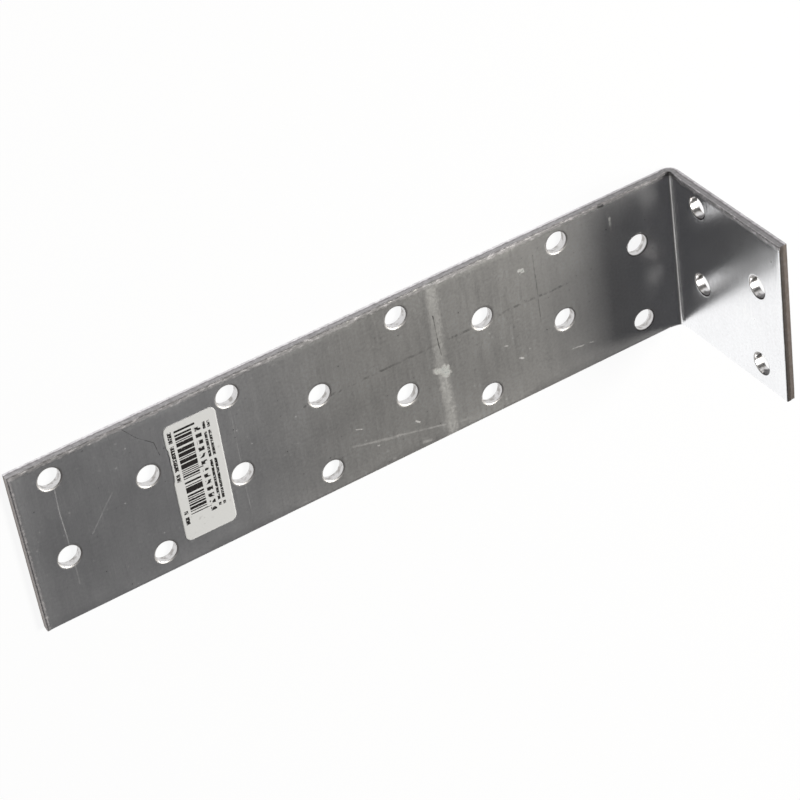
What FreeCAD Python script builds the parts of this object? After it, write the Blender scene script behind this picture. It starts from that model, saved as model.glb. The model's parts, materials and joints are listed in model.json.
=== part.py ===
import FreeCAD, Part
import math
import os

# Driving dimensions of the folded strip, in millimetres
LONG_LEG = 160.0  # outside length, from the heel to the free end
SHORT_LEG = 40.0  # outside length, from the heel to the free end
STRIP_WIDTH = 40.0
SHEET = 2.0  # thickness of the steel
FOLD_RADIUS = 1.0  # inside radius of the fold
NEUTRAL_SHARE = 0.42  # depth of the layer that keeps its length in the fold, as a share of the sheet
EDGE_ROLL = 0.3  # rounding that shearing leaves along the inside edges and ends
SWELL_HEIGHT = 0.4  # how far the fold squeezes metal out past each long edge
SWELL_REACH = 2.4  # how far that swelling spreads from the inside of the fold

# Driving dimensions of the punched field, in millimetres
HOLE_DIAMETER = 5.0
HOLE_ROLL = 0.25  # rounding that the punch leaves at the inside mouth of a hole
COLUMN_PITCH = 20.0  # along the flat strip, with the fold midway between two columns
ROW_PITCH = 10.0
ROW_SHIFT = 0.5  # the field sits this far towards the front edge from the middle of the strip
EDGE_LAND = 1.5  # least metal between a hole's mouth and a long edge
END_LAND = 4.5  # least metal between a hole's mouth and a free end

# Driving dimensions of the paper label, in millimetres and degrees
LABEL_WIDTH = 12.0  # along the long leg
LABEL_HEIGHT = 29.5  # across the strip
LABEL_CORNER = 1.5
LABEL_THICKNESS = 0.1
LABEL_COLUMNS_IN = 1.5  # pitches from the outermost column of the long leg to the label's nominal middle
LABEL_SIDESTEP = 0.8  # the label is stuck on this far towards the fold from there
LABEL_SET_FORWARD = 0.15  # and this far towards the front edge from the middle of the strip
LABEL_TURN = 0.3  # its front end leans this much towards the fold

TOUCHING = 1e-4  # two places closer than this are the same place
CUT_OVERRUN = 1.0  # a cutting tool runs this far past the faces it cuts

# The bracket lies on the outside of its long leg, with the middle of that face at the origin
heel_x = -LONG_LEG / 2
long_end_x = heel_x + LONG_LEG
inner_x = heel_x + SHEET
front_y = -STRIP_WIDTH / 2
back_y = front_y + STRIP_WIDTH
outer_radius = FOLD_RADIUS + SHEET
fold_x = heel_x + outer_radius
fold_z = outer_radius

# The strip is punched flat, so the pitch is kept along its neutral layer through the fold
fold_length = math.pi / 2 * (FOLD_RADIUS + NEUTRAL_SHARE * SHEET)
heel_to_column = outer_radius + (COLUMN_PITCH - fold_length) / 2
mouth_radius = HOLE_DIAMETER / 2 + HOLE_ROLL


def in_profile(x, z):
    """Point of the folded outline, which lies square to the fold."""
    return FreeCAD.Vector(x, 0, z)


def mid_fold(radius):
    """Point halfway round the fold, at a distance from its axis."""
    offset = radius * math.sqrt(0.5)
    return in_profile(fold_x - offset, fold_z - offset)


def folded_profile():
    """Outline of the folded sheet, seen along the fold."""
    long_outer_end = in_profile(long_end_x, 0)
    long_outer_fold = in_profile(fold_x, 0)
    short_outer_fold = in_profile(heel_x, fold_z)
    short_outer_end = in_profile(heel_x, SHORT_LEG)
    short_inner_end = in_profile(inner_x, SHORT_LEG)
    short_inner_fold = in_profile(inner_x, fold_z)
    long_inner_fold = in_profile(fold_x, SHEET)
    long_inner_end = in_profile(long_end_x, SHEET)
    curves = [
        Part.LineSegment(long_outer_end, long_outer_fold),
        Part.Arc(long_outer_fold, mid_fold(outer_radius), short_outer_fold),
        Part.LineSegment(short_outer_fold, short_outer_end),
        Part.LineSegment(short_outer_end, short_inner_end),
        Part.LineSegment(short_inner_end, short_inner_fold),
        Part.Arc(short_inner_fold, mid_fold(FOLD_RADIUS), long_inner_fold),
        Part.LineSegment(long_inner_fold, long_inner_end),
        Part.LineSegment(long_inner_end, long_outer_end),
    ]
    return Part.Face(Part.Wire([curve.toShape() for curve in curves]))


def folded_strip(front, back):
    """The folded sheet between two planes across the strip."""
    profile = folded_profile()
    profile.translate(FreeCAD.Vector(0, front, 0))
    return profile.extrude(FreeCAD.Vector(0, back - front, 0))


def is_inside_rim(edge):
    """Whether an edge bounds the strip's inside face at a long edge or a free end."""
    middle = edge.valueAt((edge.FirstParameter + edge.LastParameter) / 2)
    inside = middle.x > inner_x - TOUCHING and middle.z > SHEET - TOUCHING
    rims = (middle.y - front_y, middle.y - back_y, middle.x - long_end_x, middle.z - SHORT_LEG)
    return inside and min(abs(distance) for distance in rims) < TOUCHING


def fold_swelling(edge_y, outward):
    """Metal squeezed out past one long edge, highest at the inside of the fold: a cap of a ball."""
    ball_radius = (SWELL_REACH**2 + SWELL_HEIGHT**2) / (2 * SWELL_HEIGHT)
    centre = mid_fold(FOLD_RADIUS)
    centre.y = edge_y + outward * (SWELL_HEIGHT - ball_radius)
    ball = Part.makeSphere(ball_radius, centre)
    return ball.common(folded_strip(front_y - ball_radius, back_y + ball_radius))


def punch():
    """Tool for one hole, from the outer face at z = 0 to the mouth at z = SHEET, flared in two steps."""
    radius = HOLE_DIAMETER / 2
    bow = HOLE_ROLL * (1 - math.sqrt(0.5))
    tip = in_profile(0, -CUT_OVERRUN)
    tip_rim = in_profile(radius, -CUT_OVERRUN)
    flare_start = in_profile(radius, SHEET - HOLE_ROLL)
    flare_middle = in_profile(radius + bow, SHEET - bow)
    flare_end = in_profile(mouth_radius, SHEET)
    top_rim = in_profile(mouth_radius, SHEET + CUT_OVERRUN)
    top = in_profile(0, SHEET + CUT_OVERRUN)
    corners = [tip, tip_rim, flare_start, flare_middle, flare_end, top_rim, top, tip]
    outline = Part.Face(Part.makePolygon(corners))
    return outline.revolve(FreeCAD.Vector(0, 0, 0), FreeCAD.Vector(0, 0, 1), 360)


def row_places():
    """Places of the rows of holes across the strip, from the back edge to the front."""
    room = STRIP_WIDTH - 2 * (mouth_radius + EDGE_LAND + abs(ROW_SHIFT))
    gaps = int(room // ROW_PITCH)
    rearmost = (front_y + back_y + gaps * ROW_PITCH) / 2 - ROW_SHIFT
    return [rearmost - ROW_PITCH * gap for gap in range(gaps + 1)]


def column_distances(leg):
    """Distances of a leg's columns of holes from the heel, from the fold outwards."""
    room = leg - heel_to_column - mouth_radius - END_LAND
    return [heel_to_column + COLUMN_PITCH * gap for gap in range(int(room // COLUMN_PITCH) + 1)]


def punched_at(place, inward):
    """The punch set through the sheet at a place on its outer face."""
    tool = punch()
    tool.Placement = FreeCAD.Placement(place, FreeCAD.Rotation(FreeCAD.Vector(0, 0, 1), inward))
    return tool


def hole_field():
    """All punched holes: every other row in a column, and the rows between in the next column."""
    rows = row_places()
    tools = []
    for number, distance in enumerate(column_distances(LONG_LEG)):
        for y in rows[number % 2 :: 2]:
            tools.append(punched_at(FreeCAD.Vector(heel_x + distance, y, 0), FreeCAD.Vector(0, 0, 1)))
    for number, distance in enumerate(column_distances(SHORT_LEG)):
        for y in rows[(number + 1) % 2 :: 2]:
            tools.append(punched_at(FreeCAD.Vector(heel_x, y, distance), FreeCAD.Vector(1, 0, 0)))
    return tools


def angle_bracket():
    """One strip of steel sheet, sheared, punched in staggered rows and folded square."""
    strip = folded_strip(front_y, back_y)
    strip = strip.makeFillet(EDGE_ROLL, [edge for edge in strip.Edges if is_inside_rim(edge)])
    strip = strip.fuse([fold_swelling(front_y, -1), fold_swelling(back_y, 1)])
    return strip.cut(hole_field()).removeSplitter().Solids[0]


def paper_label():
    """Thin sticker with rounded corners, flat on the inside of the long leg."""
    outermost_x = heel_x + column_distances(LONG_LEG)[-1]
    middle_x = outermost_x - LABEL_COLUMNS_IN * COLUMN_PITCH - LABEL_SIDESTEP
    middle_y = (front_y + back_y) / 2 - LABEL_SET_FORWARD
    corner = FreeCAD.Vector(-LABEL_WIDTH / 2, -LABEL_HEIGHT / 2, 0)
    sheet = Part.makeBox(LABEL_WIDTH, LABEL_HEIGHT, LABEL_THICKNESS, corner)
    through = [edge for edge in sheet.Edges if abs(edge.Length - LABEL_THICKNESS) < TOUCHING]
    sheet = sheet.makeFillet(LABEL_CORNER, through)
    lean = FreeCAD.Rotation(FreeCAD.Vector(0, 0, 1), -LABEL_TURN)
    sheet.Placement = FreeCAD.Placement(FreeCAD.Vector(middle_x, middle_y, SHEET), lean)
    return sheet.Solids[0]


os.makedirs("parts", exist_ok=True)
angle_bracket().exportStep("parts/angle_bracket.step")
paper_label().exportStep("parts/paper_label.step")
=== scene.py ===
import json
import math

import bpy
import numpy as np
from bpy.props import FloatProperty, FloatVectorProperty, PointerProperty
from mathutils import Matrix, Vector


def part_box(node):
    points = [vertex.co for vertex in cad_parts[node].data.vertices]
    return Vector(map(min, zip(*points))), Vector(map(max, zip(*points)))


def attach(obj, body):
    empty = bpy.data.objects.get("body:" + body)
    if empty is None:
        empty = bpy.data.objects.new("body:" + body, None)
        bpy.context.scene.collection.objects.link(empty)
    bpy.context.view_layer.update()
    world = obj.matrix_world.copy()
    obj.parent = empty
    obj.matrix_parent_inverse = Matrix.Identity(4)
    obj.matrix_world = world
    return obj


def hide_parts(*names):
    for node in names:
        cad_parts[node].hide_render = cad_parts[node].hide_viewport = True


bl_info = {
    "name": "Anchor angle bracket",
    "version": (1, 0, 0),
    "blender": (4, 5, 0),
    "location": "View3D > Sidebar > Bracket",
    "description": "Dresses the packed anchor angle bracket: punched zinc strip, paper label and studio",
    "category": "Object",
}

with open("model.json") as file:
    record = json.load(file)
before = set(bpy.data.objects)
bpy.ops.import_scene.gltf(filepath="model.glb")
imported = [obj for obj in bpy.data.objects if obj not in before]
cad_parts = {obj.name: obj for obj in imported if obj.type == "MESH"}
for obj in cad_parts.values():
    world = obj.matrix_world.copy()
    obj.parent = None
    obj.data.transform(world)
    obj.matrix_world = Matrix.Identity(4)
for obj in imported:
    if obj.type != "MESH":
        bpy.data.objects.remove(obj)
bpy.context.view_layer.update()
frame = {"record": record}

MM = 0.001

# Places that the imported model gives
strip_low, strip_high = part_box("angle_bracket")
label_low, label_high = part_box("paper_label")
inside_z = label_low.z

# The same in millimetres, for the materials
HEEL, LONG_END, SHORT_END, INSIDE = (
    value / MM for value in (strip_low.x, strip_high.x, strip_high.z, inside_z)
)


def holes_through(face_axis):
    """Centres of the holes in the leg whose outer face looks along face_axis, from the record's
    bolt patterns."""
    first, second = (axis for axis in range(3) if not face_axis[axis])
    places = set()
    for mount in frame["record"]["mounts"]:
        if mount["kind"] != "bolt_pattern" or tuple(mount["axis"]) != face_axis:
            continue
        half_first = mount["dims"].get("spacing_x_mm", 0) * MM / 2
        half_second = mount["dims"].get("spacing_y_mm", 0) * MM / 2
        for side in (-1, 1):
            for other_side in (-1, 1):
                place = list(mount["pos_m"])
                place[first] += side * half_first
                place[second] += other_side * half_second
                places.add(tuple(round(value, 7) for value in place))
    return np.array(sorted(places))


LONG_LEG_HOLES = holes_through((0, 0, -1))
SHORT_LEG_HOLES = holes_through((-1, 0, 0))

# Marks on the inside of the long leg: points in millimetres, half width, and how strongly the mark shows
DARK_LINES = (
    (((54.8, -19.0), (51.9, -15.4), (48.8, -12.5), (48.3, -9.2)), 0.07, 0.6),
    (((-42.4, -15.0), (-42.4, 2.5)), 0.09, 0.4),
    (((-17.05, -11.6), (-17.25, -9.0), (-17.6, -1.2)), 0.1, 0.95),
    # Painted shadow beside the small smear of adhesive at (-38.5, -12.8)
    (((-38.9, -12.1), (-39.9, -12.4)), 0.12, 0.45),
    (((-59.7, -19.3), (-60.5, -19.2)), 0.4, 0.9),
)
RUBBED_LINES = ((((15.5, -4.4), (-50.0, -4.3)), 0.25, 0.38),)
LIGHT_LINES = (
    (((71.1, -13.0), (71.0, 2.0)), 0.1, 0.3),
    (((71.0, 7.0), (71.0, 12.0)), 0.1, 0.15),
    (((59.8, -5.8), (65.7, 1.5)), 0.12, 0.14),
    (((6.2, 11.0), (0.3, 12.5), (-2.8, 13.3), (-5.2, 13.6), (-10.0, 14.9), (-16.2, 16.5)), 0.2, 0.19),
    (((-16.2, 16.5), (-19.3, 17.4), (-24.7, 18.5)), 0.2, 0.1),
    (((1.0, 12.3), (-2.8, 13.3), (-5.2, 13.6)), 0.3, 0.17),
    (((-10.5, 18.4), (-12.2, 18.6)), 0.35, 0.25),
    (((-2.7, 18.9), (-3.2, 18.9)), 0.25, 0.25),
    (((0.4, 13.6), (0.1, 13.7)), 0.15, 0.4),
    (((-62.0, -15.3), (-62.0, -14.9)), 0.28, 0.9),
    (((-62.0, -13.9), (-62.0, -13.5)), 0.28, 0.9),
    (((-62.0, -15.2), (-62.2, -11.7)), 0.15, 0.45),
    (((-62.0, -11.7), (-61.6, 4.5)), 0.1, 0.35),
    (((31.5, -12.0), (31.4, 16.0)), 0.07, 0.15),
    (((4.8, 7.2), (3.5, 7.7)), 0.12, 0.7),
    (((-36.4, 9.1), (-37.2, 9.5)), 0.18, 0.6),
    (((-49.5, 13.2), (-52.3, 13.5)), 0.13, 0.9),
    (((-54.1, 13.7), (-54.9, 13.9)), 0.13, 0.8),
    (((-9.3, 12.0), (-10.1, 12.7)), 0.16, 0.9),
    (((-61.6, 10.3), (-61.6, 10.5)), 0.24, 1.0),
    (((-32.8, 4.1), (-33.4, 4.4)), 0.12, 0.5),
    (((56.8, -16.4), (56.7, -16.4)), 0.2, 0.15),
    (((57.8, -10.8), (57.7, -10.8)), 0.2, 0.15),
    (((61.4, -12.0), (61.3, -11.9)), 0.2, 0.15),
    (((69.1, -5.8), (69.0, -5.7)), 0.2, 0.15),
)
GLUE_SMEARS = (
    (((-17.4, -19.8), (-17.4, -14.0)), 1.1, 0.15),
    (((-17.4, -14.0), (-17.2, -3.0), (-17.1, 2.0)), 1.05, 0.11),
    (((-17.3, 2.0), (-17.8, 14.0), (-17.7, 19.8)), 1.05, 0.15),
    (((-17.8, 2.6), (-18.2, 3.8)), 0.8, 0.7),
    (((-15.9, 2.1), (-17.6, 3.0)), 0.65, 0.6),
    (((-38.5, -12.8), (-39.4, -12.5)), 0.3, 0.7),
)
# Where a mark starts to fade and where it is gone, in half widths
MARK_FULL, MARK_GONE = 0.4, 1.8

# Fixed colours of marks and dirt, two of them also used for a painted shadow and a painted shade
MARK_AND_SHADOW_DARK = (0.05, 0.05, 0.05, 1.0)
SCRATCHED_LIGHT = (0.95, 0.95, 0.93, 1.0)
GRIT_LIGHT = (0.7, 0.68, 0.66, 1.0)
SEAM_DARK = (0.07, 0.06, 0.07, 1.0)
BROKEN_PATCH_AND_PAINTED_SHADE = (0.3, 0.28, 0.26, 1.0)
HOLE_SIDE_DARK = (0.1, 0.095, 0.1, 1.0)
PAPER_DIRT = (0.25, 0.24, 0.22, 1.0)
WHITE = (1.0, 1.0, 1.0, 1.0)

# Heights of the bumps in the materials
ZINC_RELIEF = 0.003 * MM
SHEARED_RELIEF = 0.05 * MM
PUNCHED_RELIEF = 0.02 * MM
PAPER_RELIEF = 0.01 * MM
# Slope of the short leg's twist, for each millimetre above its start, in units of the zinc's relief
TWIST_SLOPE = 0.9
TWIST_START = 4.0

# Steps between like places, in millimetres: hole rows and columns, bars, dashes and blots of the print
ROW_STEP = 10.0
COLUMN_STEP = 20.0
BAR_STEP = 0.24
DASH_STEP = 0.8
BLOT_STEP = 1.72


class Wire:
    """A shader socket: Python's operators on it add Math nodes."""

    def __init__(self, graph, socket):
        self.graph = graph
        self.socket = socket

    def math(self, operation, *values):
        return self.graph.node("ShaderNodeMath", {"operation": operation}, dict(enumerate(values)))

    def __add__(self, other):
        return self.math("ADD", self, other)

    def __radd__(self, other):
        return self.math("ADD", other, self)

    def __sub__(self, other):
        return self.math("SUBTRACT", self, other)

    def __rsub__(self, other):
        return self.math("SUBTRACT", other, self)

    def __mul__(self, other):
        return self.math("MULTIPLY", self, other)

    def __rmul__(self, other):
        return self.math("MULTIPLY", other, self)

    def __gt__(self, other):
        return self.math("GREATER_THAN", self, other)

    def __lt__(self, other):
        return self.math("LESS_THAN", self, other)

    def __abs__(self):
        return self.math("ABSOLUTE", self)

    def floor(self):
        return self.math("FLOOR", self)

    def fraction(self):
        return self.math("FRACT", self)

    def larger(self, other):
        return self.math("MAXIMUM", self, other)

    def smaller(self, other):
        return self.math("MINIMUM", self, other)


class Graph:
    """The nodes of one material, or of the world."""

    def __init__(self, tree):
        self.tree = tree
        tree.nodes.clear()

    def node(self, kind, settings=None, inputs=None, output=0):
        """Adds a node, its settings first and then its sockets' values or links, and gives one output."""
        node = self.tree.nodes.new(kind)
        for name, value in (settings or {}).items():
            setattr(node, name, value)
        for name, value in (inputs or {}).items():
            if isinstance(value, Wire):
                self.tree.links.new(value.socket, node.inputs[name])
            else:
                node.inputs[name].default_value = value
        return Wire(self, node.outputs[output])

    def place(self):
        """Place on the piece, in millimetres."""
        coordinates = self.node("ShaderNodeTexCoord", output="Object")
        return self.vector("SCALE", coordinates, Scale=1 / MM)

    def vector(self, operation, first, second=None, output=0, **more):
        inputs = {0: first, **more}
        if second is not None:
            inputs[1] = second
        return self.node("ShaderNodeVectorMath", {"operation": operation}, inputs, output)

    def parts(self, vector):
        """The three numbers of a vector."""
        split = self.node("ShaderNodeSeparateXYZ", inputs={0: vector})
        return [Wire(self, socket) for socket in split.socket.node.outputs]

    def depth(self):
        """Depth below the inside face, as a share of the sheet."""
        return self.node("ShaderNodeAttribute", {"attribute_name": "depth"}, output="Fac")

    def noise(self, vector, scale, detail, output="Fac"):
        """Noise about its middle of 0.5, with so many cells in each millimetre."""
        inputs = {"Vector": vector, "Scale": scale, "Detail": detail}
        return self.node("ShaderNodeTexNoise", inputs=inputs, output=output)

    def drawn_noise(self, vector, squeeze, scale, detail):
        """Noise that is squeezed or drawn out along the axes."""
        return self.noise(self.vector("MULTIPLY", vector, squeeze), scale, detail)

    def ramp(self, value, start, end, low=0.0, high=1.0):
        """A smooth step from low at start to high at end."""
        settings = {"interpolation_type": "SMOOTHSTEP"}
        return self.node("ShaderNodeMapRange", settings, {0: value, 1: start, 2: end, 3: low, 4: high})

    def mix(self, share, first, second):
        """A colour between two."""
        return self.node("ShaderNodeMix", {"data_type": "RGBA"}, {0: share, 6: first, 7: second}, output=2)

    def band(self, value, start, end, soft):
        """1 between start and end, fading over soft on both sides."""
        return self.ramp(value, start - soft, start + soft) * self.ramp(value, end + soft, end - soft)

    def line(self, place, points, half_width):
        """1 along a run of straight pieces, fading to the sides: the distance to the nearest piece
        against a width."""
        found = None
        for start, end in zip(points, points[1:]):
            start, end = Vector((*start, 0)), Vector((*end, 0))
            along = end - start
            offset = self.vector("SUBTRACT", place, start)
            share = self.vector("DOT_PRODUCT", offset, along / along.length_squared, "Value")
            share = self.node("ShaderNodeClamp", inputs={0: share})
            gap = self.vector("DISTANCE", offset, self.vector("SCALE", along, Scale=share), "Value")
            found = gap if found is None else found.smaller(gap)
        return self.ramp(found, half_width * MARK_GONE, half_width * MARK_FULL)

    def lines(self, place, marks):
        """The strongest of several lines at each place."""
        shown = None
        for points, half_width, strength in marks:
            mark = self.line(place, points, half_width) * strength
            shown = mark if shown is None else shown.larger(mark)
        return shown

    def bump(self, height, distance):
        """The normal over a relief, whose height of 1 is the distance."""
        return self.node("ShaderNodeBump", inputs={"Height": height, "Distance": distance})

    def surface(self, shader, output_kind="ShaderNodeOutputMaterial"):
        """Links the finished shader to the output."""
        output = self.tree.nodes.new(output_kind)
        self.tree.links.new(shader.socket, output.inputs["Surface"])


def new_material(name):
    """An empty material and its graph."""
    material = bpy.data.materials.new(name)
    material.use_nodes = True
    return material, Graph(material.node_tree)


def opaque(colour):
    """A colour with full alpha, as the colour sockets take it."""
    return (*colour, 1.0)


def marks_of_use(graph, place, height, cloud):
    """How much of old adhesive, of dark marks and of light marks lies at each place on the inside of the
    long leg; one dark mark is a painted shadow beside a small smear of adhesive. Slow noise bends the lines,
    and fine noise frays the adhesive."""
    middle = (0.5, 0.5, 0.5)
    on_face = (1.0, 1.0, 0.0)
    bend = graph.vector("SUBTRACT", graph.noise(place, 0.07, 1.0, "Color"), middle)
    bent = graph.vector("MULTIPLY", graph.vector("ADD", place, bend), on_face)
    fray = graph.vector("SUBTRACT", graph.noise(place, 1.1, 4.0, "Color"), middle)
    fray = graph.vector("SCALE", fray, Scale=1.6)
    frayed = graph.vector("MULTIPLY", graph.vector("ADD", place, fray), on_face)
    patchy = graph.ramp(graph.noise(place, 0.7, 3.0), 0.4, 0.62)
    crumbs = graph.ramp(graph.noise(place, 2.2, 4.0), 0.38, 0.62)
    smear = graph.lines(frayed, GLUE_SMEARS) * (0.5 + patchy * 0.2 + crumbs * 0.6)
    dots = graph.noise(place, 1.5, 0.0)
    rubbed = graph.lines(bent, RUBBED_LINES) * (patchy * graph.ramp(cloud, 0.34, 0.5, 0.4, 1.0))
    dark = (graph.lines(bent, DARK_LINES) * (0.4 + patchy * 0.6)).larger(rubbed)
    dark = dark.larger(graph.ramp(dots, 0.15, 0.11) * 0.45)
    light = graph.lines(bent, LIGHT_LINES) * (0.5 + patchy * 0.5)
    light = light.larger(graph.ramp(dots, 0.84, 0.88) * 0.3)
    inside_long = graph.band(height, INSIDE - 0.4, INSIDE + 0.3, 0.2)
    return [mark * inside_long for mark in (smear, dark, light)]


def zinc_coat(settings):
    """Satin zinc with cloudy tone, fine brushing and rolling streaks across the strip, a painted warm tint
    where the lamp falls, dull worn rims with painted glints and painted light, and the marks of use on the
    inside, one of them a painted shadow."""
    material, graph = new_material("zinc_coat")
    place = graph.place()
    x, y, z = graph.parts(place)
    depth = graph.depth()
    edge = (strip_high.y - settings.swelling) / MM
    cloud = graph.noise(place, 0.09, 4.0)
    streak = graph.drawn_noise(place, (1.0, 0.08, 1.0), 1.3, 3.0)
    brushing = graph.drawn_noise(place, (1.0, 0.07, 1.0), 3.5, 1.0)
    grain = graph.noise(place, 1.5, 5.0)
    nicks_and_glints = graph.drawn_noise(place, (0.5, 1.5, 0.5), 1.8, 4.0)
    painted_glints = graph.ramp(graph.drawn_noise(place, (0.5, 1.0, 1.0), 1.4, 3.0), 0.5, 0.66)
    smear, dark, light = marks_of_use(graph, place, z, cloud)

    # Zones of the strip
    outside = graph.ramp(depth, 0.6, 0.9)
    on_short = graph.ramp(z, INSIDE + 1.0, INSIDE + 4.0) * (1 - outside)
    hazed = graph.ramp(x, HEEL + 1.7, HEEL + 2.7)
    worked = 0.6 + graph.band(x, -55.0, 25.0, 25.0) * 0.4
    # Painted warm tint of the lamp's light, on the lit middle of the long leg
    painted_lamp_warmth = graph.band(x, -60.0, 20.0, 25.0)
    rim = graph.ramp(y, 2.1 - edge, 0.1 - edge).larger(graph.ramp(x, LONG_END - 1.6, LONG_END - 0.1))
    worn = graph.ramp(rim + (nicks_and_glints - 0.5) * 1.2, 0.25, 1.0)

    # Colour, from the coat outwards
    tone = 1 + (cloud - 0.5) * 0.12 + ((streak - 0.5) * 0.1 + (grain - 0.5) * 0.3) * worked
    tone = tone - outside * (0.24 - (cloud - 0.5) * 0.4 - (streak - 0.5) * 0.25)
    colour = graph.mix(painted_lamp_warmth, opaque(settings.zinc_colour), opaque(settings.painted_warmth_colour))
    colour = graph.vector("SCALE", colour, Scale=tone)
    # Painted light on the worn rims: a lighter ring, a darker upper roll where the lamp's highlight falls, a
    # lighter lower roll, painted glints from the nicks and flecks, and lighter beside the fold, on the short
    # leg and at the long end
    painted_rim_light = graph.ramp(depth, 0.0, 0.012, 1.05, 0.5) + graph.ramp(depth, 0.035, 0.08) * 0.8
    painted_rim_light = painted_rim_light + (nicks_and_glints - 0.5) * 2.4 + on_short * 0.7 + graph.ramp(x, -60.0, -72.0) * 0.1
    painted_rim_light = painted_rim_light + graph.ramp(x, LONG_END - 1.5, LONG_END - 0.7) * 0.8
    painted_rim_light = painted_rim_light * (0.8 + painted_glints * graph.ramp(x, LONG_END - 1.5, LONG_END - 3.0) * 0.6)
    colour = graph.mix(worn, colour, graph.vector("SCALE", settings.steel_colour[:], Scale=painted_rim_light))
    colour = graph.mix(smear, colour, opaque(settings.glue_colour))
    # Dark marks and dirt, and one painted shadow
    colour = graph.mix(dark, colour, MARK_AND_SHADOW_DARK)
    colour = graph.mix(light, colour, SCRATCHED_LIGHT)

    # Gloss
    handled = graph.ramp(y, 3.0, 19.0) * 0.02 + graph.ramp(x, LONG_END - 6.0, LONG_END - 0.5) * 0.03
    handled = handled + graph.ramp(x, -62.0, -72.0) * 0.03
    mottle = (cloud - 0.5) * 0.04 + ((streak - 0.5) * 0.04 + (grain - 0.5) * 0.045) * worked
    roughness = settings.zinc_roughness + hazed * (settings.haze + handled + mottle)
    roughness = roughness - on_short * graph.ramp(z, 30.0, 14.0) * 0.05
    roughness = roughness + smear * 0.3 + worn * (worn * 0.28 + on_short * 0.25) + outside * 0.08

    # Relief, and the slight twist of the short leg
    relief = brushing * (10 - hazed * 6) + streak * (2 - hazed * 1.7) + grain * 0.3 - dark + light * 0.3
    twist = y * (z - TWIST_START).larger(0) * (1 - outside) * TWIST_SLOPE
    shader = graph.node(
        "ShaderNodeBsdfPrincipled",
        inputs={
            "Base Color": colour,
            "Roughness": roughness,
            "Metallic": 1 - smear.larger(light * 0.8),
            "Normal": graph.bump(relief - twist, ZINC_RELIEF),
        },
    )
    graph.surface(shader)
    return material


def sheared_steel(settings):
    """Cut edge of the strip: dull, smoother where the blade slid, torn below, with a dark line between the
    two, painted near-white towards the outside face as a reflection of the white floor, and a brown tinge
    on both ends. It is darker beside the fold, a painted shade."""
    material, graph = new_material("sheared_edge")
    place = graph.place()
    x, y, z = graph.parts(place)
    depth = graph.depth()
    edge = (strip_high.y - settings.swelling) / MM
    tear = graph.noise(place, 1.1, 4.0)
    grit = graph.noise(place, 5.0, 3.0)
    rub = graph.drawn_noise(place, (0.6, 0.6, 1.6), 1.6, 3.0)
    wander = depth + (tear - 0.5) * 0.3
    torn = graph.ramp(wander, 0.45, 0.6)
    seam = graph.band(wander, 0.55, 0.64, 0.06)
    ends = graph.ramp(x, LONG_END - 0.8, LONG_END - 0.5)
    ends = ends.larger(graph.ramp(z, SHORT_END - 0.8, SHORT_END - 0.5))
    ends = ends * graph.ramp(abs(y), edge - 0.1, edge - 0.2)
    # Painted reflection of the white floor: the lower cut wall turns near-white towards the outside face
    painted_floor_reflection = graph.ramp(wander, 0.6, 0.85) * (1 - ends)
    colour = graph.mix(torn, opaque(settings.steel_colour), opaque(settings.torn_colour))
    colour = graph.mix(painted_floor_reflection, colour, opaque(settings.painted_reflection_colour))
    colour = graph.mix(graph.ramp(grit, 0.5, 0.75) * 0.4, colour, GRIT_LIGHT)
    # Painted shade: the cut edge is darker beside the fold, where the short leg's shadow falls
    painted_fold_shade = graph.ramp(x, -45.0, -65.0)
    colour = graph.vector("SCALE", colour, Scale=(1 + (rub - 0.5) * 1.2) * (1 - painted_fold_shade * 0.26))
    colour = graph.mix(seam * 0.35, colour, SEAM_DARK)
    brown = ends * graph.ramp(tear, 0.75, 0.3, 0.6, 1.0)
    colour = graph.mix(brown, colour, opaque(settings.brown_colour))
    shader = graph.node(
        "ShaderNodeBsdfPrincipled",
        inputs={
            "Base Color": colour,
            "Roughness": 0.4 + torn * 0.15,
            "Metallic": 1.0,
            "Normal": graph.bump(tear * torn + grit * 0.5, SHEARED_RELIEF),
        },
    )
    graph.surface(shader)
    return material


def punched_steel(settings):
    """Wall of a punched hole: bright where the punch slid, broken below into light and dark patches, and
    darkened at its mouth as a painted shade over the lamp's highlight. The short leg's holes are darker on
    the side towards the back and the top."""
    material, graph = new_material("punched_wall")
    place = graph.place()
    depth = graph.depth()
    x, y, z = graph.parts(place)
    score = graph.noise(place, 0.8, 2.0)
    lip_with_painted_shade = graph.ramp(depth, 0.16, 0.02)
    short = graph.ramp(x, HEEL + 3.0, HEEL + 2.0)
    torn = graph.ramp(depth + (score - 0.5) * 0.5, 0.3, 0.6)
    broken = torn * graph.ramp(score, 0.4, 0.65) * (0.7 + short * 0.15)
    # Painted shade: the hole's mouth is darkened to dim the lamp's highlight on it
    colour = graph.mix(broken.larger(lip_with_painted_shade * 0.5), opaque(settings.wall_colour), BROKEN_PATCH_AND_PAINTED_SHADE)

    def from_middle(value, first, step):
        """Distance from the nearest hole's middle along one axis, where the holes repeat by a step."""
        return ((value - first) * (1 / step) + 0.5).fraction() * step - step / 2

    _, first_row, first_column = SHORT_LEG_HOLES[0] / MM
    backward = from_middle(y, first_row, ROW_STEP)
    upward = from_middle(z, first_column, COLUMN_STEP)
    # Darker on the side of each short-leg hole towards the back and the top
    darker_side = graph.ramp(backward * 0.5 + upward * 0.85 + (score - 0.5) * 1.5, 0.4, 1.3) * short
    colour = graph.mix(darker_side * 0.85, colour, HOLE_SIDE_DARK)
    shader = graph.node(
        "ShaderNodeBsdfPrincipled",
        inputs={
            "Base Color": colour,
            "Roughness": 0.42 - short * 0.14 + lip_with_painted_shade * 0.08 + darker_side * 0.15,
            "Metallic": 1.0,
            "Normal": graph.bump(score, PUNCHED_RELIEF),
        },
    )
    graph.surface(shader)
    return material


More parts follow.
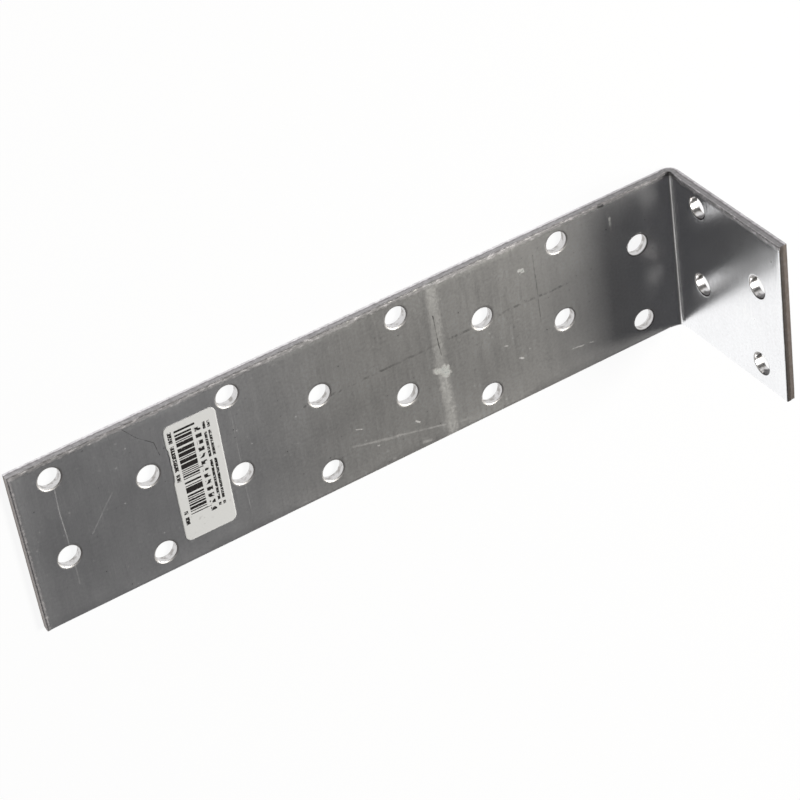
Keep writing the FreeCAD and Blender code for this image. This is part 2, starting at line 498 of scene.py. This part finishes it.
def label_paper(settings):
    """Matt paper with a field of plain bars, rows of short strokes, and patches of dirt."""
    material, graph = new_material("label_paper")
    middle = (label_low + label_high) / 2
    mapping = {
        "Vector": graph.node("ShaderNodeTexCoord", output="Object"),
        "Location": (middle.x, middle.y, 0),
        "Rotation": (0, 0, math.pi - settings.lean),
        "Scale": (MM, MM, MM),
    }
    place = graph.node("ShaderNodeMapping", {"vector_type": "TEXTURE"}, mapping)
    across, along, _ = graph.parts(place)

    def strokes(step, share, seed):
        """1 on uneven strokes along the label: each step is inked or not by its own random number."""
        number = (along * (1 / step) + seed).floor()
        chance = graph.node("ShaderNodeTexWhiteNoise", {"noise_dimensions": "1D"}, {"W": number})
        return chance < share

    def field(left, right, bottom, top):
        """1 on an upright rectangle of the label."""
        return graph.band(across, left, right, 0.03) * graph.band(along, bottom, top, 0.03)

    bars = strokes(BAR_STEP, 0.55, 7.0) * field(-3.7, 0.1, -9.1, 13.0)
    for bottom in (-9.1, 1.6, 12.4):
        bars = bars.larger(strokes(BAR_STEP, 0.6, 7.0) * field(0.1, 1.05, bottom, bottom + 0.6))
    dashes = graph.drawn_noise(place, (1.6, 3.4, 1.0), 1.0, 1.0)
    dashes = graph.ramp(dashes, 0.36, 0.46) * strokes(DASH_STEP, 0.9, 3.0)
    row = field(2.65, 3.25, -9.5, 12.2).larger(field(3.65, 4.25, -9.6, 12.0))
    row = row.larger(field(-5.2, -4.3, 0.5, 13.2)).larger(field(-5.2, -4.3, -10.8, -7.2))
    blots = graph.ramp(graph.drawn_noise(place, (1.3, 1.3, 1.0), 1.0, 0.0), 0.38, 0.46)
    blots = blots * graph.band((along * (1 / BLOT_STEP)).fraction(), 0.2, 0.75, 0.05)
    blots = blots * field(0.75, 2.1, -10.2, 11.9)
    ink = bars.larger(dashes * row).larger(blots)
    worn = graph.ramp(graph.noise(place, 2.5, 3.0), 0.2, 0.36)
    fibre = graph.noise(place, 3.0, 4.0)
    dirt = graph.ramp(graph.noise(place, 0.8, 4.0), 0.62, 0.75)
    colour = graph.vector("SCALE", settings.paper_colour[:], Scale=1 + (fibre - 0.5) * 0.06)
    colour = graph.mix(dirt * 0.25, colour, PAPER_DIRT)
    colour = graph.mix(ink * worn, colour, opaque(settings.ink_colour))
    shader = graph.node(
        "ShaderNodeBsdfPrincipled",
        inputs={
            "Base Color": colour,
            "Roughness": 0.7,
            "Specular IOR Level": 0.25,
            "Normal": graph.bump(fibre, PAPER_RELIEF),
        },
    )
    graph.surface(shader)
    return material


# How far the metal that the fold squeezes out spreads, and how far in the edges start to turn up
SWELLING_SPREAD = 2.4 * MM
BACK_UPTURN_REACH = 4 * MM
END_UPTURN_REACH = 3 * MM


class Strip:
    """The strip and its fold. A place on it is a run from the long leg's end of the fold (negative past
    the fold, on the short leg), a distance across from the middle, and a depth below the inside face."""

    def __init__(self, settings):
        self.sheet = settings.sheet
        self.radius = settings.fold_radius
        self.roll = settings.edge_roll
        self.hole_radius = settings.hole_diameter / 2
        self.fold_x = strip_low.x + self.radius + self.sheet
        self.fold_z = strip_low.z + self.radius + self.sheet
        self.arc = math.pi / 2 * (self.radius + self.sheet / 2)
        self.swelling = settings.swelling
        self.edge = (strip_high.y - strip_low.y) / 2 - self.swelling
        self.upturn = settings.upturn
        self.long_end = strip_high.x - self.fold_x
        self.short_end = self.fold_z - self.arc - strip_high.z

    def folded(self, run, across, depth):
        """Places after folding: straight legs, joined by a quarter circle of the fold's radius plus the
        depth. Beside the fold, the long edges bulge by the cap of a ball. The back edge and the long leg's
        end turn up towards the inside by the square of the way into the last few millimetres."""
        turn = np.clip(-run / self.arc, 0, 1) * math.pi / 2
        into_back = np.clip((across - self.edge) / BACK_UPTURN_REACH + 1, 0, 1)
        into_end = np.clip((run - self.long_end) / END_UPTURN_REACH + 1, 0, 1)
        reach = self.radius + depth - self.upturn * (into_back**2 + into_end**2)
        x = self.fold_x + np.maximum(run, 0) - reach * np.sin(turn)
        z = self.fold_z + np.maximum(-run - self.arc, 0) - reach * np.cos(turn)
        offset = self.radius * math.sqrt(0.5)
        gap = np.hypot(x - self.fold_x + offset, z - self.fold_z + offset)
        ball = (SWELLING_SPREAD**2 + self.swelling**2) / (2 * self.swelling)
        cap = np.sqrt(np.maximum(ball**2 - gap**2, 0)) - ball + self.swelling
        near_edge = np.clip((np.abs(across) - self.edge) / SWELLING_SPREAD + 1, 0, 1) ** 2
        y = across + np.sign(across) * np.maximum(cap, 0) * near_edge
        return np.stack(np.broadcast_arrays(x, y, z), axis=-1)


# Points nearer than this become one. The shift keeps round sizes off the borders of the weld's cells.
WELD = 1e-6
WELD_SHIFT = 0.37
SHARP_ANGLE = math.radians(38)


class Surface:
    """Patches of quads gathered into one mesh."""

    def __init__(self):
        self.points, self.depths, self.faces, self.zones = [], [], [], []
        self.count = 0

    def add(self, points, depth, zones, closed):
        """A grid of points, in rows. Each row of faces takes a zone. A closed grid joins its last column
        to its first."""
        rows, columns = points.shape[:2]
        number = self.count + np.arange(rows * columns).reshape(rows, columns)
        if closed:
            number = np.concatenate([number, number[:, :1]], axis=1)
        corners = (number[:-1, :-1], number[:-1, 1:], number[1:, 1:], number[1:, :-1])
        faces = np.stack(corners, axis=-1)
        self.zones.append(np.repeat(np.asarray(zones), faces.shape[1]))
        self.faces.append(faces.reshape(-1, 4))
        self.points.append(points.reshape(-1, 3))
        self.depths.append(np.broadcast_to(depth, points.shape[:2]).ravel())
        self.count += rows * columns

    def mesh(self, name):
        """The mesh, with points that fall together made one."""
        points = np.concatenate(self.points)
        keys = np.floor(points / WELD + WELD_SHIFT).astype(np.int64)
        _, first, place = np.unique(keys, axis=0, return_index=True, return_inverse=True)
        faces = place.ravel()[np.concatenate(self.faces)]
        mesh = bpy.data.meshes.new(name)
        mesh.from_pydata(points[first].tolist(), [], faces.tolist())
        mesh.polygons.foreach_set("material_index", np.concatenate(self.zones).astype(np.int32))
        mesh.polygons.foreach_set("use_smooth", np.ones(len(faces), bool))
        attribute = mesh.attributes.new("depth", "FLOAT", "POINT")
        attribute.data.foreach_set("value", np.concatenate(self.depths)[first].astype(np.float32))
        mesh.update()
        mesh.set_sharp_from_angle(angle=SHARP_ANGLE)
        return mesh


def rectangle_loop(runs, lines):
    """Points round a rectangle, anticlockwise from its lowest corner, at given steps along its sides."""
    bottom = np.stack([runs[:-1], np.full(len(runs) - 1, lines[0])])
    right = np.stack([np.full(len(lines) - 1, runs[-1]), lines[:-1]])
    top = np.stack([runs[:0:-1], np.full(len(runs) - 1, lines[-1])])
    left = np.stack([np.full(len(lines) - 1, runs[0]), lines[:0:-1]])
    return np.concatenate([bottom, right, top, left], axis=1)


ZINC, SHEARED, PUNCHED = range(3)
ROLL_STEPS = 6
# Depths of the points on a cut wall, as shares of the sheet
LAND_DEPTHS = (0.28, 0.4, 0.5)
TEAR_DEPTHS = (0.56, 0.68, 0.8, 0.9, 0.97)
# Share of the tear's step at its first point, and of its chips at its last
TEAR_START = 0.4
TEAR_FOOT = 0.5
# Holes: rings on the skin, which crowd towards the hole, and the flared mouth
SKIN_RINGS = 9
RING_CROWDING = 1.6
FLARE_WIDTH = 0.3 * MM
FLARE_DEPTH = 0.14 * MM
FLARE_FLATNESS = 1.7
HOLE_TORN_SET = 0.05 * MM
HOLE_CHIPS = 0.006 * MM
# Sheared edge: its roll is wider than deep, and round
ROLL_WIDTH = 1.4
ROLL_FLATNESS = 1
EDGE_TORN_SET = 0.04 * MM
EDGE_CHIPS = 0.02 * MM
FOLD_STEPS = 13
# Grid lines along the strip run a millimetre apart through its rows of holes, at most so many each way
MOST_LINES = 90
# Label: points along and across, and the depth and lift of its torn border
LABEL_ROWS = 141
LABEL_COLUMNS = 41
FRAY_STEPS = 90
LEAST_TEAR = 0.4
TEAR_LIFT = 0.06 * MM
LIFT_REACH = 0.8 * MM
# Random draws
CHIP_SEED = 11
FRAY_SEED = 5


def cut_profile(strip, width, height, flatness, torn_set):
    """Section of a cut wall from the inside face down: a quarter of an ellipse where the edge is drawn in,
    whose sine and cosine are raised to the flatness (2 is a straight chamfer), a smooth land, then the tear,
    which steps aside by torn_set. Gives set-in from the cut, depth, and roughness of each point."""
    quarter = np.linspace(0, math.pi / 2, ROLL_STEPS)
    setting = width * (1 - np.sin(quarter) ** flatness)
    depth = height * (1 - np.cos(quarter) ** flatness)
    land = np.array(LAND_DEPTHS) * strip.sheet
    tear = np.array(TEAR_DEPTHS) * strip.sheet
    stepping = np.linspace(TEAR_START, 1, len(tear)) * torn_set
    setting = np.concatenate([setting, np.zeros(len(land)), stepping, [torn_set]])
    depth = np.concatenate([depth, land, tear, [strip.sheet]])
    rough = np.concatenate([np.zeros(ROLL_STEPS + len(land)), np.ones(len(tear)), [TEAR_FOOT]])
    return setting, depth, rough


def punched_cell(surface, strip, hole, runs, lines, draw):
    """One cell of the strip with its hole, as a profile carried round the hole: rings close in from the
    cell's rectangle to the hole's circle on the inside face, go down the wall, and open out again on the
    outside face."""
    loop = rectangle_loop(runs, lines)
    even = np.linspace(0, 2 * math.pi, loop.shape[1], endpoint=False)
    towards = np.unwrap(np.arctan2(loop[1] - hole[1], loop[0] - hole[0]))
    angle = even + np.mean(towards - even)
    circle = np.stack([np.cos(angle), np.sin(angle)])

    setting, depth, rough = cut_profile(strip, FLARE_WIDTH, FLARE_DEPTH, FLARE_FLATNESS, HOLE_TORN_SET)
    closing = np.linspace(1, 0, SKIN_RINGS, endpoint=False) ** RING_CROWDING
    opening = np.linspace(0, 1, SKIN_RINGS + 1)[1:] ** RING_CROWDING
    share = np.concatenate([closing, np.zeros(len(setting)), opening])
    radius = np.pad(setting, SKIN_RINGS, mode="edge")
    depth = np.pad(depth, SKIN_RINGS, mode="edge")
    rough = np.pad(rough, SKIN_RINGS)

    chips = draw.normal(0, HOLE_CHIPS, (len(rough), loop.shape[1])) * rough[:, None]
    reach = strip.hole_radius + radius[:, None] + chips
    share = share[:, None]
    run = share * loop[0] + (1 - share) * (hole[0] + reach * circle[0])
    across = share * loop[1] + (1 - share) * (hole[1] + reach * circle[1])
    zones = np.full(len(rough) - 1, ZINC)
    zones[SKIN_RINGS:-SKIN_RINGS] = PUNCHED
    surface.add(strip.folded(run, across, depth[:, None]), depth[:, None] / strip.sheet, zones, True)


def leg_cells(surface, strip, holes, ends, lines, draw):
    """Cells of one leg: columns part midway between their holes, and the holes of a column midway between
    them. Gives the runs of all columns."""
    columns = np.unique(holes[:, 0])
    parting = np.concatenate([[ends[0]], (columns[:-1] + columns[1:]) / 2, [ends[1]]])
    steps = []
    for column, start, end in zip(columns, parting, parting[1:]):
        runs = np.linspace(start, end, int(round((end - start) / MM)) + 1)
        steps.append(runs)
        rows = np.sort(holes[holes[:, 0] == column, 1])
        middles = (rows[:-1] + rows[1:]) / 2
        middles = lines[np.abs(lines[:, None] - middles).argmin(axis=0)]
        borders = np.concatenate([[lines[0]], middles, [lines[-1]]])
        for row, low, high in zip(rows, borders, borders[1:]):
            inner = lines[(lines >= low) & (lines <= high)]
            punched_cell(surface, strip, np.array([column, row]), runs, inner, draw)
    return np.concatenate(steps)


def folded_strip(settings):
    """The whole bracket: punched cells on both legs, the fold's band between them, and the sheared edge all
    round, which is the section of a cut wall carried round the border."""
    strip = Strip(settings)
    draw = np.random.default_rng(CHIP_SEED)
    surface = Surface()
    inset = strip.roll * ROLL_WIDTH
    reach = strip.edge - inset
    long_holes = np.stack([LONG_LEG_HOLES[:, 0] - strip.fold_x, LONG_LEG_HOLES[:, 1]], axis=1)
    short_holes = np.stack([strip.fold_z - strip.arc - SHORT_LEG_HOLES[:, 2], SHORT_LEG_HOLES[:, 1]], axis=1)
    first_row = long_holes[:, 1].min()
    grid = first_row + MM * np.arange(-MOST_LINES, MOST_LINES)
    lines = np.concatenate([[-reach], grid[np.abs(grid) < reach - MM / 2], [reach]])

    long_runs = leg_cells(surface, strip, long_holes, (0.0, strip.long_end - inset), lines, draw)
    short_runs = leg_cells(surface, strip, short_holes, (strip.short_end + inset, -strip.arc), lines, draw)
    fold_runs = np.linspace(-strip.arc, 0, FOLD_STEPS)
    band_zones = np.full(len(lines) - 1, ZINC)
    run, across = np.meshgrid(fold_runs, lines)
    surface.add(strip.folded(run, across, 0.0), 0.0, band_zones, False)
    run, across = np.meshgrid(fold_runs[::-1], lines)
    surface.add(strip.folded(run, across, strip.sheet), 1.0, band_zones, False)

    runs = np.unique(np.round(np.concatenate([short_runs, fold_runs, long_runs]), 9))
    loop = rectangle_loop(runs, lines)
    outward = [np.sign(side) * ((side == side.max()) | (side == side.min())) for side in loop]
    setting, depth, rough = cut_profile(strip, inset, strip.roll, ROLL_FLATNESS, EDGE_TORN_SET)
    setting = np.append(setting, inset)[::-1, None]
    depth = np.append(depth, strip.sheet)[::-1, None]
    rough = np.append(rough, 0)[::-1, None]
    chips = draw.normal(0, EDGE_CHIPS, (len(rough), loop.shape[1])) * rough
    step = inset - setting - np.abs(chips)
    points = strip.folded(loop[0] + step * outward[0], loop[1] + step * outward[1], depth)
    # The rim of the outside face and most of the drawn-in edge keep their zinc
    zones = np.full(len(rough) - 1, SHEARED)
    zones[0] = ZINC
    zones[-ROLL_STEPS + 2 :] = ZINC
    surface.add(points, depth / strip.sheet, zones, True)
    return surface.mesh("punched_strip")


def torn_label(settings):
    """The label as a sheet: rows along it, each from its left to its right border, with round corners cut
    off by a quarter circle and a shallow tear in one border, whose paper lifts a little."""
    middle = (label_low + label_high) / 2
    half_width, half_length = settings.width / 2, settings.length / 2
    corner = settings.corner
    along = half_length * np.sin(np.linspace(-math.pi / 2, math.pi / 2, LABEL_ROWS))
    across = np.linspace(-1, 1, LABEL_COLUMNS)
    beyond = np.maximum(np.abs(along) - half_length + corner, 0)
    cut = corner - np.sqrt(np.maximum(corner**2 - beyond**2, 0))
    draw = np.random.default_rng(FRAY_SEED)
    fray_places = np.linspace(-half_length, half_length, FRAY_STEPS)
    fray = np.interp(along, fray_places, draw.uniform(0, 1, FRAY_STEPS))
    span = np.clip((along - settings.tear_low) / MM, 0, 1)
    span = span * np.clip((settings.tear_high - along) / MM, 0, 1)
    tear = settings.tear * span * (LEAST_TEAR + (1 - LEAST_TEAR) * fray)
    left = -half_width + cut + tear
    right = half_width - cut
    u = left[:, None] + (right - left)[:, None] * (across + 1) / 2
    v = np.broadcast_to(along[:, None], u.shape)
    lift = TEAR_LIFT * span[:, None] * np.exp(-(u - left[:, None]) / LIFT_REACH)
    height = label_high.z + lift
    lean = settings.lean
    x = middle.x - u * math.cos(lean) - v * math.sin(lean)
    y = middle.y + u * math.sin(lean) - v * math.cos(lean)
    surface = Surface()
    surface.add(np.stack([x, y, height], axis=-1), 0.0, np.zeros(len(along) - 1, int), False)
    return surface.mesh("paper_sheet")


def new_piece(name, mesh, materials, node):
    """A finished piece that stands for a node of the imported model."""
    piece = bpy.data.objects.new(name, mesh)
    bpy.context.scene.collection.objects.link(piece)
    for material in materials:
        mesh.materials.append(material)
    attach(piece, "root")
    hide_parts(node)
    return piece


def colour_property(name, description, default):
    return FloatVectorProperty(
        name=name, description=description, default=default, size=3, subtype="COLOR", min=0, max=1
    )


def length_property(name, description, default):
    return FloatProperty(
        name=name, description=description, default=default, unit="LENGTH", min=0, precision=5
    )


def share_property(name, description, default):
    return FloatProperty(
        name=name, description=description, default=default, subtype="FACTOR", min=0, max=1
    )


class StripSettings(bpy.types.PropertyGroup):
    """Sizes and colours of the strip"""

    sheet: length_property("Sheet", "Thickness of the steel", inside_z - strip_low.z)
    fold_radius: length_property("Fold radius", "Inside radius of the fold", 1.0 * MM)
    edge_roll: length_property("Edge roll", "Depth to which shearing draws the edges in", 0.3 * MM)
    upturn: length_property("Upturn", "How far the back edge and the long end turn up", 0.05 * MM)
    swelling: length_property("Swelling", "How far the fold squeezes metal past the long edges", 0.4 * MM)
    hole_diameter: length_property("Hole", "Diameter of the punched holes", 5.0 * MM)
    zinc_colour: colour_property("Zinc", "Colour of the clean zinc coat", (0.95, 0.955, 0.97))
    # Painted warm tint that stands for the lamp's light on the lit middle of the long leg
    painted_warmth_colour: colour_property("Aged zinc", "Colour of the yellowed zinc coat", (0.975, 0.96, 0.925))
    zinc_roughness: share_property("Zinc roughness", "Roughness of the clean zinc coat", 0.25)
    haze: share_property("Haze", "Roughness that handling adds on the long leg", 0.068)
    glue_colour: colour_property("Glue", "Colour of old adhesive", (0.29, 0.32, 0.31))
    steel_colour: colour_property("Bare steel", "Colour of the smooth cut edge", (0.35, 0.34, 0.345))
    torn_colour: colour_property("Torn steel", "Colour of the torn cut edge", (0.34, 0.32, 0.33))
    # Near-white colour that paints the white floor's reflection on the lower cut wall
    painted_reflection_colour: colour_property("Burr", "Colour of the cut edge at the outside face", (0.85, 0.83, 0.85))
    brown_colour: colour_property("Brown steel", "Colour of the cut ends", (0.2, 0.17, 0.15))
    wall_colour: colour_property("Hole wall", "Colour of the holes' walls", (0.72, 0.71, 0.71))


class LabelSettings(bpy.types.PropertyGroup):
    """Sizes and colours of the label"""

    width: length_property("Width", "Size along the long leg", 12.0 * MM)
    length: length_property("Length", "Size across the strip", 29.5 * MM)
    corner: length_property("Corner", "Radius of the corners", 1.5 * MM)
    lean: FloatProperty(
        name="Lean", description="Turn of the label on the leg", default=math.radians(0.3), unit="ROTATION"
    )
    tear: length_property("Tear", "Depth of the torn border", 0.45 * MM)
    tear_low: length_property("Tear start", "Where the tear starts, from the middle", 0.4 * MM)
    tear_high: length_property("Tear end", "Where the tear ends, from the middle", 9.8 * MM)
    paper_colour: colour_property("Paper", "Colour of the paper", (0.685, 0.69, 0.685))
    ink_colour: colour_property("Ink", "Colour of the print", (0.012, 0.01, 0.01))


class StageSettings(bpy.types.PropertyGroup):
    """Colours and lights of the stage"""

    floor_colour: colour_property("Floor", "Colour of the floor", (0.9, 0.9, 0.9))
    white_share: share_property("White", "Share of the floor's own white", 0.92)
    room_colour: colour_property("Room", "Light of the room", (0.055, 0.055, 0.058))
    horizon_colour: colour_property("Horizon", "Light of the walls near the floor", (0.5, 0.47, 0.42))
    lamp_colour: colour_property("Lamp colour", "Light of the lamp", (1.0, 0.98, 0.94))
    lamp_power: FloatProperty(
        name="Lamp", description="Power of the lamp above the fold", default=19.0, unit="POWER"
    )
    lens: FloatProperty(name="Lens", description="Focal length", default=124.09, unit="CAMERA")


class BRACKET_OT_fold_strip(bpy.types.Operator):
    """Make the punched and folded zinc strip"""

    bl_idname = "bracket.fold_strip"
    bl_label = "Fold strip"

    def execute(self, context):
        settings = context.scene.bracket_strip
        materials = [zinc_coat(settings), sheared_steel(settings), punched_steel(settings)]
        new_piece("zinc_strip", folded_strip(settings), materials, "angle_bracket")
        return {"FINISHED"}


class BRACKET_OT_stick_label(bpy.types.Operator):
    """Make the torn paper label"""

    bl_idname = "bracket.stick_label"
    bl_label = "Stick label"

    def execute(self, context):
        settings = context.scene.bracket_label
        materials = [label_paper(settings)]
        label = new_piece("torn_label", torn_label(settings), materials, "paper_label")
        thickness = label.modifiers.new("thickness", "SOLIDIFY")
        thickness.thickness = label_high.z - label_low.z
        thickness.offset = -1
        return {"FINISHED"}


# Stage, in metres
FLOOR_HALF = 3.0
SWEEP_RISE = 0.45
LAMP_WIDTH, LAMP_HEIGHT = 0.6, 0.42
LAMP_PLACE = Vector((-0.74, -0.12, 1.0))
LAMP_TARGET = Vector((0.0, -0.12, 0.0))
# Sine of the elevation where the walls' light starts to give way to the room's, and where it is gone
WALLS_FADE, WALLS_GONE = 0.08, 0.35
CAMERA_PLACE = Vector((195.83, -342.96, 416.96)) * MM
CAMERA_RIGHT = Vector((-0.84479, 0.12853, 0.51944))
CAMERA_UP = Vector((-0.40491, -0.78818, -0.4635))
CAMERA_NEAR = 0.01


def swept_floor():
    """A square floor, whose borders rise like a paper sweep and hide the far end of the room."""
    sides = ((-1, -1), (1, -1), (1, 1), (-1, 1))
    levels = ((FLOOR_HALF, 0.0), (FLOOR_HALF + SWEEP_RISE / 2, SWEEP_RISE))
    corners = [(x * half, y * half, height) for half, height in levels for x, y in sides]
    borders = [(k + 4, (k + 1) % 4 + 4, (k + 1) % 4, k) for k in range(4)]
    mesh = bpy.data.meshes.new("floor")
    mesh.from_pydata(corners, [], [(0, 1, 2, 3), *borders])
    return mesh


def floor_material(settings):
    """Pale floor that shows white to the eye and in the metal, and keeps a share of light and shadow."""
    material, graph = new_material("pale_floor")
    camera = graph.node("ShaderNodeLightPath", output="Is Camera Ray")
    glossy = graph.node("ShaderNodeLightPath", output="Is Glossy Ray")
    through = graph.node("ShaderNodeLightPath", output="Is Transmission Ray")
    seen = (camera * settings.white_share).larger(glossy).larger(through)
    matt = graph.node("ShaderNodeBsdfDiffuse", inputs={"Color": opaque(settings.floor_colour)})
    white = graph.node("ShaderNodeEmission", inputs={"Color": WHITE, "Strength": 1.0})
    graph.surface(graph.node("ShaderNodeMixShader", inputs={0: seen, 1: matt, 2: white}))
    return material


class BRACKET_OT_set_stage(bpy.types.Operator):
    """Set the floor, the room, the lamp and the camera"""

    bl_idname = "bracket.set_stage"
    bl_label = "Set stage"

    def execute(self, context):
        scene = context.scene
        settings = scene.bracket_stage
        floor_mesh = swept_floor()
        floor_mesh.materials.append(floor_material(settings))
        floor = bpy.data.objects.new("floor", floor_mesh)
        scene.collection.objects.link(floor)

        world = bpy.data.worlds.new("room")
        world.use_nodes = True
        graph = Graph(world.node_tree)
        height = graph.parts(graph.node("ShaderNodeTexCoord", output="Generated"))[2]
        low = graph.ramp(height, WALLS_GONE, WALLS_FADE)
        light = graph.mix(low, opaque(settings.room_colour), opaque(settings.horizon_colour))
        shader = graph.node("ShaderNodeBackground", inputs={"Color": light, "Strength": 1.0})
        graph.surface(shader, "ShaderNodeOutputWorld")
        scene.world = world

        lamp = bpy.data.lights.new("soft_lamp", "AREA")
        lamp.shape = "RECTANGLE"
        lamp.size, lamp.size_y = LAMP_WIDTH, LAMP_HEIGHT
        lamp.energy = settings.lamp_power
        lamp.color = settings.lamp_colour
        holder = bpy.data.objects.new("soft_lamp", lamp)
        turn = (LAMP_TARGET - LAMP_PLACE).to_track_quat("-Z", "Y")
        holder.matrix_world = Matrix.LocRotScale(LAMP_PLACE, turn, None)
        scene.collection.objects.link(holder)

        camera = bpy.data.cameras.new("camera")
        camera.lens = settings.lens
        camera.clip_start = CAMERA_NEAR
        holder = bpy.data.objects.new("camera", camera)
        right, up = CAMERA_RIGHT.normalized(), CAMERA_UP.normalized()
        turn = Matrix((right, up, right.cross(up))).transposed()
        holder.matrix_world = Matrix.LocRotScale(CAMERA_PLACE, turn.to_quaternion(), None)
        scene.collection.objects.link(holder)
        scene.camera = holder
        scene.view_settings.view_transform = "Standard"
        return {"FINISHED"}


class BRACKET_PT_sidebar(bpy.types.Panel):
    """Buttons and settings of the bracket"""

    bl_label = "Anchor angle bracket"
    bl_idname = "BRACKET_PT_sidebar"
    bl_space_type = "VIEW_3D"
    bl_region_type = "UI"
    bl_category = "Bracket"

    def draw(self, context):
        groups = (
            (BRACKET_OT_fold_strip, context.scene.bracket_strip),
            (BRACKET_OT_stick_label, context.scene.bracket_label),
            (BRACKET_OT_set_stage, context.scene.bracket_stage),
        )
        for operator, settings in groups:
            box = self.layout.box()
            box.operator(operator.bl_idname)
            for name in settings.__annotations__:
                box.prop(settings, name)


CLASSES = (
    StripSettings,
    LabelSettings,
    StageSettings,
    BRACKET_OT_fold_strip,
    BRACKET_OT_stick_label,
    BRACKET_OT_set_stage,
    BRACKET_PT_sidebar,
)


def register():
    for cls in CLASSES:
        bpy.utils.register_class(cls)
    bpy.types.Scene.bracket_strip = PointerProperty(type=StripSettings)
    bpy.types.Scene.bracket_label = PointerProperty(type=LabelSettings)
    bpy.types.Scene.bracket_stage = PointerProperty(type=StageSettings)


def unregister():
    del bpy.types.Scene.bracket_stage
    del bpy.types.Scene.bracket_label
    del bpy.types.Scene.bracket_strip
    for cls in reversed(CLASSES):
        bpy.utils.unregister_class(cls)


def main():
    """Registers the classes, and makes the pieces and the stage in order."""
    register()
    bpy.ops.bracket.fold_strip()
    bpy.ops.bracket.stick_label()
    bpy.ops.bracket.set_stage()


if __name__ == "__main__":
    main()
